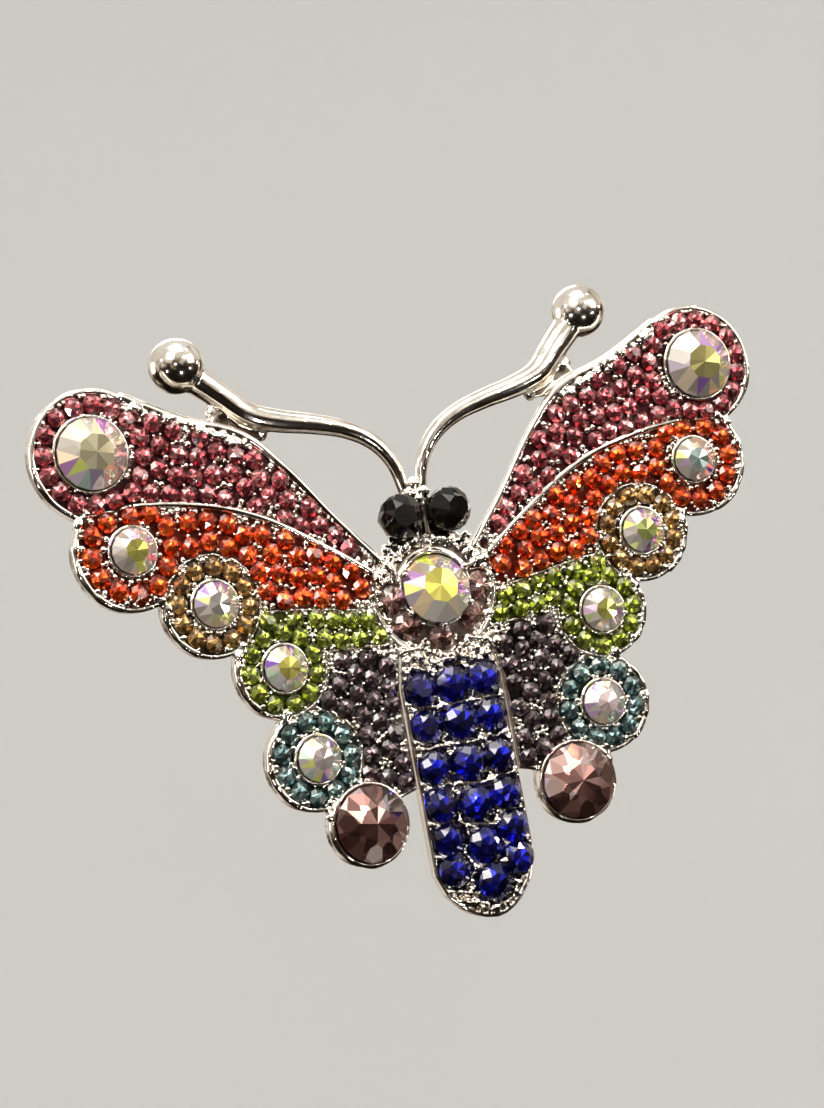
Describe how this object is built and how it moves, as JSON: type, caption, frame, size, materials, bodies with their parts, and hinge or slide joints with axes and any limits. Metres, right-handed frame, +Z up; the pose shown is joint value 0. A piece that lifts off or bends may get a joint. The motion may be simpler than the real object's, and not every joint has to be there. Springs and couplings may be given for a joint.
{
  "type": "brooch",
  "caption": "Butterfly brooch: cast silver-tone frame set with coloured glass stones, hinged pin stem and turning safety lock on the back.",
  "frame": {"origin": "on the axis of the closed pin stem, at the brooch's middle plane, where the garment holds it", "axes": "+Z up towards the head as worn, -Y the way the face looks, +Y towards the wearer, +X to a viewer's right"},
  "size_m": [0.0584, 0.0095, 0.046],
  "materials": {
    "plated_casting": "bright rhodium-tone plate over a cast zinc alloy",
    "pin_steel": "plated pressed steel",
    "iridescent_crystal": "clear faceted glass with an iridescent coat and foiled back",
    "fuchsia_stones": "deep rose faceted glass, foiled",
    "orange_stones": "hyacinth orange faceted glass, foiled",
    "topaz_stones": "golden brown faceted glass, foiled",
    "peridot_stones": "olive green faceted glass, foiled",
    "teal_stones": "grey teal faceted glass, foiled",
    "smoky_stones": "smoky grey faceted glass, foiled",
    "mauve_stones": "pale mauve faceted glass, foiled",
    "blue_stones": "cobalt blue faceted glass, foiled",
    "black_stones": "opaque black faceted glass"
  },
  "bodies": {
    "brooch": {"body_casting": "plated_casting", "wing_casting_left": "plated_casting", "wing_casting_right": "plated_casting", "antenna_left": "plated_casting", "antenna_right": "plated_casting", "fuchsia_pave_right": "fuchsia_stones", "orange_pave_right": "orange_stones", "topaz_pave_right": "topaz_stones", "peridot_pave_right": "peridot_stones", "teal_pave_right": "teal_stones", "smoky_pave_right": "smoky_stones", "fuchsia_lobe_crystal_right": "iridescent_crystal", "orange_lobe_crystal_right": "iridescent_crystal", "topaz_lobe_crystal_right": "iridescent_crystal", "peridot_lobe_crystal_right": "iridescent_crystal", "teal_lobe_crystal_right": "iridescent_crystal", "tail_drop_stone_right": "mauve_stones", "eye_stone_right": "black_stones", "side_sapphire_1_right": "blue_stones", "side_sapphire_2_right": "blue_stones", "side_sapphire_3_right": "blue_stones", "side_sapphire_4_right": "blue_stones", "side_sapphire_5_right": "blue_stones", "side_sapphire_6_right": "blue_stones", "fuchsia_pave_left": "fuchsia_stones", "orange_pave_left": "orange_stones", "topaz_pave_left": "topaz_stones", "peridot_pave_left": "peridot_stones", "teal_pave_left": "teal_stones", "smoky_pave_left": "smoky_stones", "fuchsia_lobe_crystal_left": "iridescent_crystal", "orange_lobe_crystal_left": "iridescent_crystal", "topaz_lobe_crystal_left": "iridescent_crystal", "peridot_lobe_crystal_left": "iridescent_crystal", "teal_lobe_crystal_left": "iridescent_crystal", "tail_drop_stone_left": "mauve_stones", "eye_stone_left": "black_stones", "side_sapphire_1_left": "blue_stones", "side_sapphire_2_left": "blue_stones", "side_sapphire_3_left": "blue_stones", "side_sapphire_4_left": "blue_stones", "side_sapphire_5_left": "blue_stones", "side_sapphire_6_left": "blue_stones", "centre_sapphire_1": "blue_stones", "centre_sapphire_2": "blue_stones", "centre_sapphire_3": "blue_stones", "centre_sapphire_4": "blue_stones", "centre_sapphire_5": "blue_stones", "centre_sapphire_6": "blue_stones", "thorax_crystal": "iridescent_crystal", "thorax_mauve_stones": "mauve_stones", "pin_bar": "pin_steel", "hinge_bracket": "pin_steel", "hinge_rivet": "pin_steel", "catch_housing": "pin_steel"},
    "pin": {"pin_stem": "pin_steel"},
    "lock": {"lock_sleeve": "pin_steel"}
  },
  "joints": [
    {"name": "pin_hinge", "type": "hinge", "parent": "brooch", "child": "pin", "pos_m": [-0.0125, 0, 0], "axis": [0, 0, 1], "range_deg": [0, 105]},
    {"name": "lock_turn", "type": "hinge", "parent": "brooch", "child": "lock", "pos_m": [0.0118, 0, 0], "axis": [-1, 0, 0], "range_deg": [0, 110]}
  ]
}
